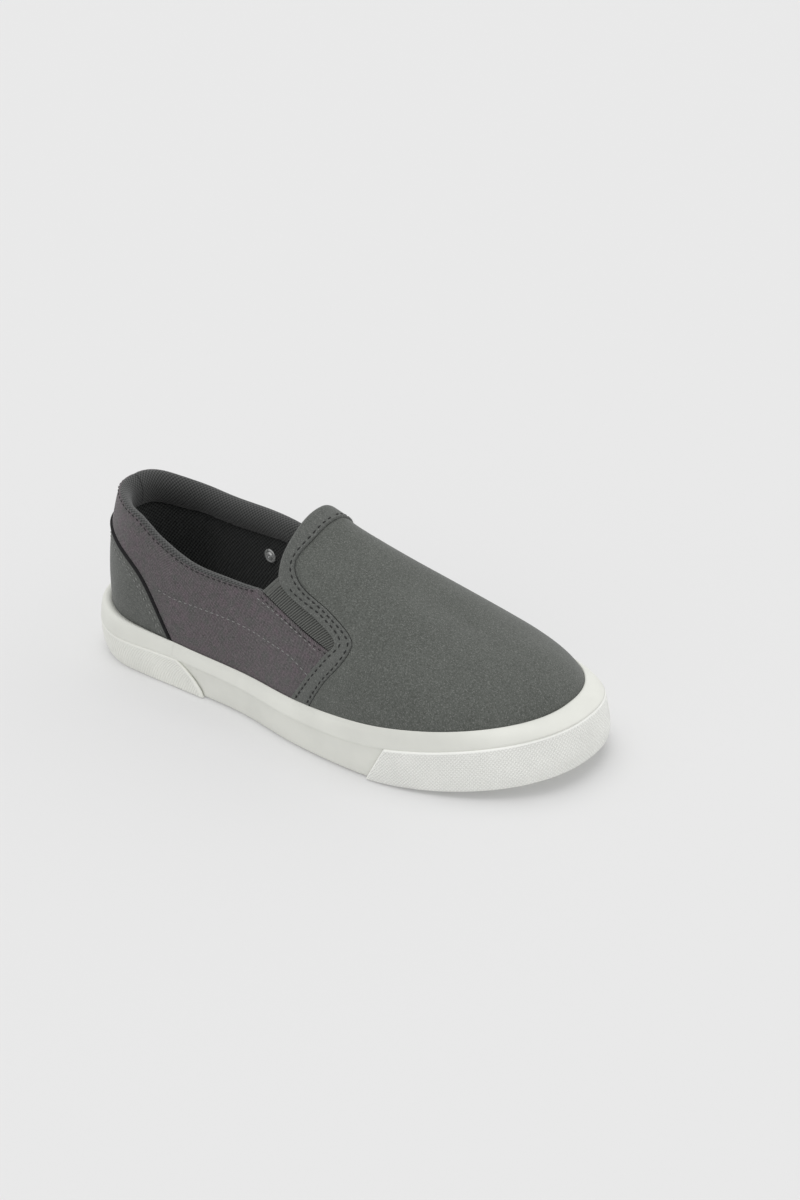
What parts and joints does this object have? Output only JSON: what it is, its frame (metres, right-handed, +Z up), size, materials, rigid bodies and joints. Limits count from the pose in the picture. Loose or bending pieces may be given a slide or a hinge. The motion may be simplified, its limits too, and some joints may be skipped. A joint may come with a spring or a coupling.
{
  "type": "slip-on sneaker",
  "caption": "Low slip-on sneaker for the right foot, with a plain vamp, elastic side gores, a padded collar and a rubber sole with raised toe and heel bands.",
  "frame": {"origin": "middle of the shoe's outline on the floor", "axes": "+X from heel to toe, +Y toward the inner side of the right foot, +Z up"},
  "size_m": [0.2526, 0.0968, 0.0863],
  "materials": {
    "lining": "dark grey twill",
    "suede": "fine matt grey nubuck with a light speckle",
    "canvas": "mauve grey woven canvas",
    "piping": "black cord",
    "elastic": "grey ribbed elastic",
    "eyelet": "bright metal",
    "sole_rubber": "off-white matt rubber"
  },
  "bodies": {
    "root": {"upper": "lining", "vamp": "suede", "throat_binding": "suede", "quarter_lateral": "canvas", "quarter_medial": "canvas", "heel_counter": "suede", "counter_piping": "piping", "gore_lateral": "elastic", "gore_medial": "elastic", "side_flap": "suede", "vent_eyelet": "eyelet", "collar_roll": "lining", "insole": "lining", "sole": "sole_rubber", "toe_band": "sole_rubber", "heel_band": "sole_rubber", "outsole": "sole_rubber"}
  },
  "joints": []
}
